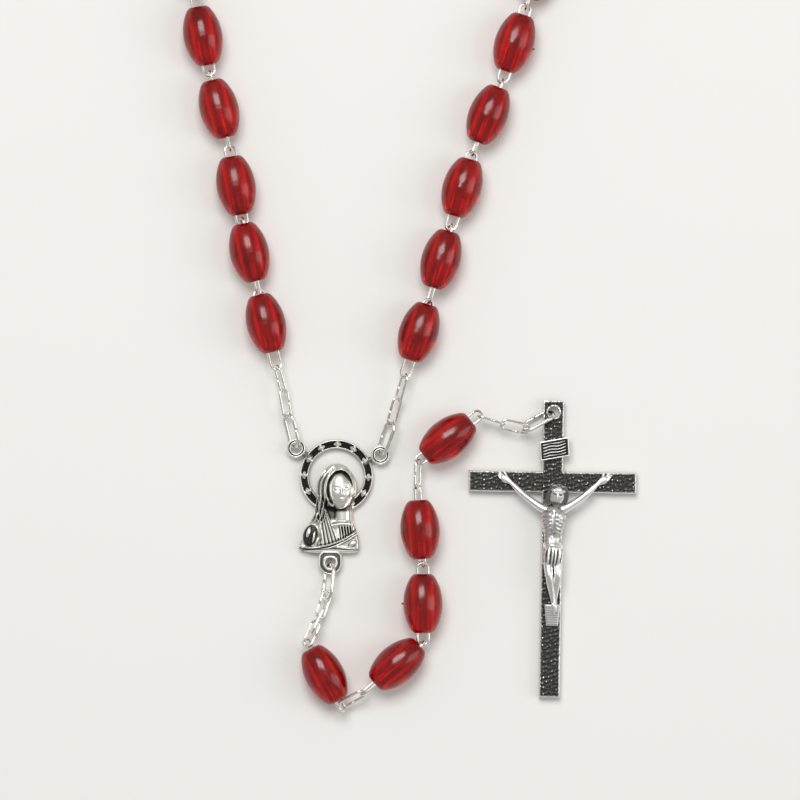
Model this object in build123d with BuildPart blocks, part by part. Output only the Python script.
"""Rosary of barrel beads on interlocking wire ovals, laid flat on its back, in millimetres."""

import os
from math import asin, degrees, pi, sin

from build123d import *

# Bead, one moulding for every prayer
bead_length = 8.9
bead_diameter = 6.0
bead_end_diameter = 3.1
bead_bore = 2.5
axis_height = bead_diameter / 2

# Wire ovals: outside length, outside width, wire diameter
sizes = {
    "bead": (12.8, 2.1, 0.42),  # the long oval that runs through a bead
    "link": (4.7, 1.9, 0.42),
    "ring": (5.9, 3.2, 0.6),
}
taut = 0.09  # play between two bends that pull on each other
loop_play = 0.25  # and in the part of the loop that lies slack

# Centre medal, in its own frame: origin at the middle of its flat back, y up the figure
medal_tilt = -4.6
halo_centre = 5.88
halo_outer = 5.6
halo_inner = 4.17
halo_thickness = 1.25
halo_rim = 0.28
halo_sunk = 0.3  # depth of the ground between the halo's rims
star_count = 12
star_radius = 0.32
star_height = 0.4
eye_radius = 1.1
eye_tube = 0.37
eye_height = 1.33
left_eye = (-6.42, 9.63)
right_eye = (6.42, 9.63)
lower_eye = (0.15, -7.3)
neck_radius = 0.85  # the post that joins an upper eye to the halo
neck_height = 0.9
neck_reach = 0.75  # from the eye's bend to the middle of the post
lug_radius = 1.75
lug_thickness = 0.66
ring_in_eye = 0.2  # from an eye's centre to the middle of the ring's wire
bust_thickness = 1.5
head_centre = (0.6, 3.4, 1.2)
head_radius = 2.35
shoulder_centre = (-0.4, -3.6, 1.0)
shoulder_radius = 1.75
shoulder_width = 7.6

# Crucifix, in its own frame: origin at the middle of the bail hole, on the flat back
cross_tilt = -0.9
cross_length = 45.0
cross_width = 25.4
bar_width = 3.15
cross_thickness = 1.8
bail_radius = 0.85
bail_top = 1.74  # from the hole to the top of the stem
bail_relief = 0.95  # the back is cut away here, so that the ring clears the table
bail_relief_length = 3.7
arm_height = 10.6  # from the hole down to the middle of the bar
wall_height = (cross_thickness + bail_relief) / 2
ring_in_hole = 0.2  # from the hole's centre to the middle of the ring's wire
plaque_size = (4.5, 2.9, 0.75)
plaque_place = (0.2, -5.6)
plaque_tilt = 11
peg_radius = 0.35
peg_depth = 1.2
hands = ((-7.75, -10.0), (7.65, -10.25))
feet = (0.0, -29.9)

# Half loops: twenty-two more beads a side, in half decades and single beads
half_length = 272.06
hidden_rolls = (-84, 6)  # ovals stand on edge and lie flat in turn
left_turn, left_straight = -103.2, 0.1951
right_turn, right_straight = 110.8, 0.2975


def seat(centre, heading, pitch=0.0, roll=0.0):
    """A place whose x runs along the heading, raised by the pitch and turned by the roll."""
    turned = Rotation(0, 0, heading) * Rotation(0, -pitch, 0) * Rotation(roll, 0, 0)
    return Location(centre) * turned


def ahead(place, distance):
    return (place * Location((distance, 0, 0))).position


def wire_length(kind):
    """From the middle of the wire at one bend to the middle of the wire at the other."""
    return sizes[kind][0] - sizes[kind][2]


# Chain layout


class Piece:
    """One oval of the chain, and where it and its bead lie."""

    def __init__(self, row, start, pitch):
        self.name, self.kind, self.heading, self.roll, _, _, self.slide = row
        self.start = start
        self.pitch = pitch
        line = seat(start, self.heading, pitch)
        self.middle = wire_length(self.kind) / 2
        self.end = ahead(line, 2 * self.middle)
        self.oval_place = seat(ahead(line, self.middle), self.heading, pitch, self.roll)
        centre = ahead(line, self.middle + self.slide)
        self.bead_place = seat((centre.X, centre.Y, axis_height), self.heading)

    def hook(self, heading):
        """The point of the last bend where a pull along the heading comes to rest."""
        _, width, wire = sizes[self.kind]
        radius = (width - wire) / 2
        oval = Plane(self.oval_place)
        pull = ahead(seat((0, 0, 0), heading), 1)
        outward = oval.x_dir * pull.dot(oval.x_dir) + oval.y_dir * pull.dot(oval.y_dir)
        return ahead(self.oval_place, self.middle - radius) + outward.normalized() * radius


def follow(first, rows):
    """The pieces of one strand: each oval hooks into the last bend of the one before.

    A row is a name, kind, heading, roll, play at its first bend, height of its last bend
    and, for a bead, how far the bead has slid along its wire.
    """
    pieces = []
    for row in rows:
        kind, heading, play, height = row[1], row[2], row[4], row[5]
        hook, overlap = Vector(first), 0.0
        if pieces:
            hook = pieces[-1].hook(heading)
            overlap = (sizes[kind][2] + sizes[pieces[-1].kind][2]) / 2 + play
        pitch = degrees(asin((height - hook.Z) / (wire_length(kind) - overlap)))
        pieces.append(Piece(row, ahead(seat(hook, heading, pitch), -overlap), pitch))
    return pieces


def hidden_rows(side, heading, turn, straight):
    """The rest of a half loop: straight at first, then an ever tighter bend to the top."""
    rows = []
    along = 0.0
    for number, beads in enumerate((5, 0, 5, 5, 0, 5), 1):
        name = f"half_decade_{side}_{number}" if beads else f"our_father_{side}_{number}"
        for kind in ["bead"] * beads or ["link", "bead", "link"]:
            step = wire_length(kind) - sizes[kind][2] - loop_play
            share = max(0.0, ((along + step / 2) / half_length - straight) / (1 - straight))
            bent = turn * (share - sin(pi * share) / pi)
            roll = hidden_rolls[len(rows) % 2]
            rows.append((name, kind, heading + bent, roll, loop_play, axis_height, 0.0))
            along += step
    return rows


medal_place = seat((0, 0, 0), medal_tilt)


def from_eye(eye, heading):
    """Where a ring's first bend passes through one of the medal's eyes."""
    eye_centre = (medal_place * Location((*eye, eye_height))).position
    return ahead(seat(eye_centre, heading), ring_in_eye)


# Headings are anticlockwise from +x, and each list runs outwards from the medal.
left_rows = [
    ("jump_ring_left", "ring", 104, -60, 0, 1.9, 0),
    ("link_left_1", "link", 100, 38, taut, 2.5, 0),
    ("link_left_2", "link", 105, -58, 0.14, axis_height, 0),
    ("left_1", "bead", 103.6, 24, taut, axis_height, 1.0),
    ("left_2", "bead", 102.8, -72, 0.8, axis_height, 0.88),
    ("left_3", "bead", 99.8, 12, 0.8, axis_height, 0.05),
    ("left_4", "bead", 104.7, -80, 0.32, axis_height, 0.34),
    ("left_5", "bead", 100.1, 6, 0.2, axis_height, -0.1),
]
right_rows = [
    ("jump_ring_right", "ring", 71, -60, 0, 1.9, 0),
    ("link_right_1", "link", 74.5, 38, taut, 2.5, 0),
    ("link_right_2", "link", 73.5, -56, taut, axis_height, 0),
    ("right_1", "bead", 72.2, 28, taut, axis_height, 1.0),
    ("right_2", "bead", 73.6, -70, taut, axis_height, 0.66),
    ("right_3", "bead", 73.5, 14, 0.5, axis_height, 0.55),
    ("right_4", "bead", 68, -78, taut, axis_height, 0.41),
    ("right_5", "bead", 72.1, 8, taut, axis_height, 0.13),
]
pendant_rows = [
    ("jump_ring_lower", "ring", -96, 60, 0, 1.9, 0),
    ("link_lower_1", "link", -108.7, -30, 0.72, 2.4, 0),
    ("link_lower_2", "link", -115.7, -90, 1.29, 2.8, 0),
    ("link_lower_3", "link", -114.4, 30, 1.53, axis_height, 0),
    ("pendant_1", "bead", -61.9, -60, 0.85, axis_height, 0),
    ("link_pendant_1", "link", 30, 45, 0.2, axis_height, 0),
    ("pendant_2", "bead", 40.5, -75, taut, axis_height, 0.9),
    ("pendant_3", "bead", 90.3, 0, taut, axis_height, 0.04),
    ("pendant_4", "bead", 93.8, -60, taut, axis_height, -0.6),
    ("link_pendant_2", "link", 88.1, 60, taut, axis_height, 0),
    ("pendant_5", "bead", 37.9, -30, taut, axis_height, -0.24),
    ("link_crucifix_1", "link", -17.9, -90, taut, 2.5, 0),
    ("link_crucifix_2", "link", -12, 15, taut, 2.0, 0),
    ("jump_ring_crucifix", "ring", 29, -60, 0.52, wall_height, 0),
]
left_rows += hidden_rows("left", 102, left_turn + 2, left_straight)
right_rows += hidden_rows("right", 70.5, right_turn - 2, right_straight)
left = follow(from_eye(left_eye, left_rows[0][2]), left_rows)
right = follow(from_eye(right_eye, right_rows[0][2]), right_rows)
pendant = follow(from_eye(lower_eye, pendant_rows[0][2]), pendant_rows)
strands = {"left": left, "right": right, "pendant": pendant}
bail_centre = ahead(seat(pendant[-1].end, pendant[-1].heading), ring_in_hole)
cross_place = seat((bail_centre.X, bail_centre.Y, 0), cross_tilt)


# Chain parts


def make_oval(kind):
    """A closed oval of round wire: two straight legs and two half-round bends."""
    length, width, wire = sizes[kind]
    leg = length - width
    bend = (width - wire) / 2
    with BuildPart() as oval:
        for side in (-1, 1):
            with Locations(Location((side * leg / 2, 0, 0), (0, 0, -90 * side))):
                Torus(bend, wire / 2, major_angle=180, align=None)
            with Locations((0, side * bend, 0)):
                Cylinder(wire / 2, leg, rotation=(0, 90, 0))
    return oval.part


def make_bead():
    """A barrel with flat ends, bored right through along x."""
    half = bead_length / 2
    end = bead_end_diameter / 2
    bore = bead_bore / 2
    with BuildPart() as barrel:
        with BuildSketch():
            with BuildLine():
                Line((-half, bore), (-half, end))
                ThreePointArc((-half, end), (0, bead_diameter / 2), (half, end))
                Line((half, end), (half, bore))
                Line((half, bore), (-half, bore))
            make_face()
        revolve(axis=Axis.X)
    return barrel.part


ovals = {kind: make_oval(kind) for kind in sizes}
bead = make_bead()


def save(name, solids):
    """Writes one named piece, which may be a group of separate solids."""
    group = solids[0] if len(solids) == 1 else Compound(children=solids)
    group.label = name
    export_step(group, f"parts/{name}.step")


def build_strand(pieces):
    """Ovals and beads by name: beads near the medal are pieces of their own, and the
    half decades beyond them are one group each."""
    nodes = {}
    for piece in pieces:
        single = piece.kind == "bead" and not piece.name.startswith(("half", "our"))
        oval_name = f"wire_{piece.name}" if single else piece.name
        nodes.setdefault(oval_name, []).append(ovals[piece.kind].moved(piece.oval_place))
        if piece.kind == "bead":
            bead_name = f"bead_{piece.name}" if single else piece.name
            nodes.setdefault(bead_name, []).append(bead.moved(piece.bead_place))
    return nodes


# Medal and crucifix


def build_medal():
    """A halo ring with stars, a veiled bust, two upper eyes and a lug with the lower eye."""
    plane = Plane(medal_place)
    halo_plane = plane.shift_origin(plane.from_local_coords(Vector(0, halo_centre, 0)))
    with BuildPart(plane) as medal:
        with BuildSketch(halo_plane):
            Circle(halo_outer)
            Circle(halo_inner, mode=Mode.SUBTRACT)
        extrude(amount=halo_thickness)
        with BuildSketch(halo_plane.offset(halo_thickness - halo_sunk)):
            Circle(halo_outer - halo_rim)
            Circle(halo_inner + halo_rim, mode=Mode.SUBTRACT)
        extrude(amount=halo_sunk, mode=Mode.SUBTRACT)
        with BuildSketch(halo_plane.offset(halo_thickness - star_height)):
            with PolarLocations((halo_outer + halo_inner) / 2, star_count, start_angle=90):
                Circle(star_radius)
        extrude(amount=star_height)
        with BuildSketch(plane):
            with BuildLine():
                Line((-5.1, -4.9), (-4.5, -5.5))
                ThreePointArc((-4.5, -5.5), (-0.4, -5.95), (3.6, -5.4))
                Line((3.6, -5.4), (4.1, -4.6))
                Spline((4.1, -4.6), (3.5, -2.2), (3.3, 0.6), (3.7, 4.0))
                ThreePointArc((3.7, 4.0), (0.6, 7.55), (-2.5, 4.0))
                Spline((-2.5, 4.0), (-2.7, 0.9), (-4.4, -1.9), (-5.1, -4.9))
            make_face()
        extrude(amount=bust_thickness)
        with Locations(head_centre):
            Sphere(head_radius)
        with Locations(shoulder_centre):
            Cylinder(shoulder_radius, shoulder_width, rotation=(0, 90, 0))
        with BuildSketch(plane):
            Rectangle(4 * halo_outer, 4 * halo_outer)
        extrude(amount=-2 * head_radius, mode=Mode.SUBTRACT)
        for eye in (left_eye, right_eye):
            with Locations((*eye, eye_height)):
                Torus(eye_radius, eye_tube)
            inward = Vector(0, halo_centre, 0) - Vector(*eye, 0)
            neck = Vector(*eye, 0) + inward.normalized() * (eye_radius + neck_reach)
            with Locations((neck.X, neck.Y, eye_height - eye_tube / 2)):
                Cylinder(neck_radius, neck_height)
        with BuildSketch(plane.offset(eye_height - lug_thickness / 2)):
            with Locations(lower_eye):
                Circle(lug_radius)
            with Locations((lower_eye[0], lower_eye[1] + lug_radius / 2)):
                Rectangle(2 * lug_radius, lug_radius)
            with Locations(lower_eye):
                Circle(eye_radius - eye_tube, mode=Mode.SUBTRACT)
        extrude(amount=lug_thickness)
    return medal.part


def build_cross():
    """A flat Latin cross with a bail hole, a scroll plate above the bar and peg holes."""
    plane = Plane(cross_place)
    with BuildPart(plane) as cross:
        with BuildSketch(plane):
            with Locations((0, bail_top - cross_length / 2)):
                Rectangle(bar_width, cross_length)
            with Locations((0, -arm_height)):
                Rectangle(cross_width, bar_width)
        extrude(amount=cross_thickness)
        with Locations((0, bail_top - bail_relief_length / 2, bail_relief / 2)):
            Box(bar_width, bail_relief_length, bail_relief, mode=Mode.SUBTRACT)
        with Locations((0, 0, wall_height)):
            Cylinder(bail_radius, cross_thickness, mode=Mode.SUBTRACT)
        with Locations(Location((*plaque_place, cross_thickness), (0, 0, plaque_tilt))):
            Box(*plaque_size, align=(Align.CENTER, Align.CENTER, Align.MIN))
        for x, y in (*hands, feet):
            with Locations((x, y, cross_thickness - peg_depth / 2)):
                Cylinder(peg_radius, peg_depth, mode=Mode.SUBTRACT)
    return cross.part


def limb(*joints):
    """Tapered round limbs through a list of (place, radius), with a ball at each joint."""
    for (start, wide), (end, narrow) in zip(joints, joints[1:]):
        along = Vector(*end) - Vector(*start)
        with Locations(Plane(Vector(*start), z_dir=along)):
            Cone(wide, narrow, along.length, align=(Align.CENTER, Align.CENTER, Align.MIN))
        with Locations(end):
            Sphere(narrow)


def build_corpus():
    """A plain cast figure: head, torso, cloth, limbs and foot block, with rivet pegs."""
    back = cross_thickness
    with BuildPart() as corpus:
        limb(((0, -14.8, 2.5), 1.25), ((-0.15, -19.0, 2.5), 1.05), ((-0.1, -22.6, 2.5), 1.2))
        with Locations((0.45, -12.6, 3.1)):
            Sphere(1.35)
        limb(((0.2, -14.8, 2.6), 0.9), ((0.45, -12.6, 3.1), 0.7))
        for side, hand in zip((-1, 1), hands):
            elbow = (side * 4.5, -12.3, 2.7)
            limb(((side * 0.8, -14.6, 2.8), 0.7), (elbow, 0.48), ((*hand, back + 0.4), 0.42))
        limb(((-0.6, -22.4, 2.8), 0.8), ((-0.45, -25.2, 3.2), 0.62), ((0.1, -29.4, 2.6), 0.5))
        limb(((0.65, -22.4, 2.8), 0.8), ((0.6, -25.2, 3.0), 0.62), ((0.15, -29.4, 2.5), 0.5))
        with Locations((feet[0], feet[1] - 0.7, back)):
            Box(2.3, 3.2, 0.75, align=(Align.CENTER, Align.CENTER, Align.MIN))
        with Locations((0, feet[1] / 2, back)):
            Box(
                cross_width, cross_length, 2 * back,
                align=(Align.CENTER, Align.CENTER, Align.MAX), mode=Mode.SUBTRACT,
            )
        for x, y in (*hands, feet):
            with Locations((x, y, back - peg_depth)):
                Cylinder(
                    peg_radius, peg_depth + 0.3, align=(Align.CENTER, Align.CENTER, Align.MIN)
                )
    return corpus.part.moved(cross_place)


if __name__ == "__main__":
    os.makedirs("parts", exist_ok=True)
    nodes = {"centre_medal": [build_medal()], "cross": [build_cross()], "corpus": [build_corpus()]}
    for pieces in strands.values():
        nodes.update(build_strand(pieces))
    for name, solids in nodes.items():
        save(name, solids)
    print(len(nodes), "nodes")
    print("loop ends", left[-1].end, right[-1].end)
    print("cross", cross_place.position)
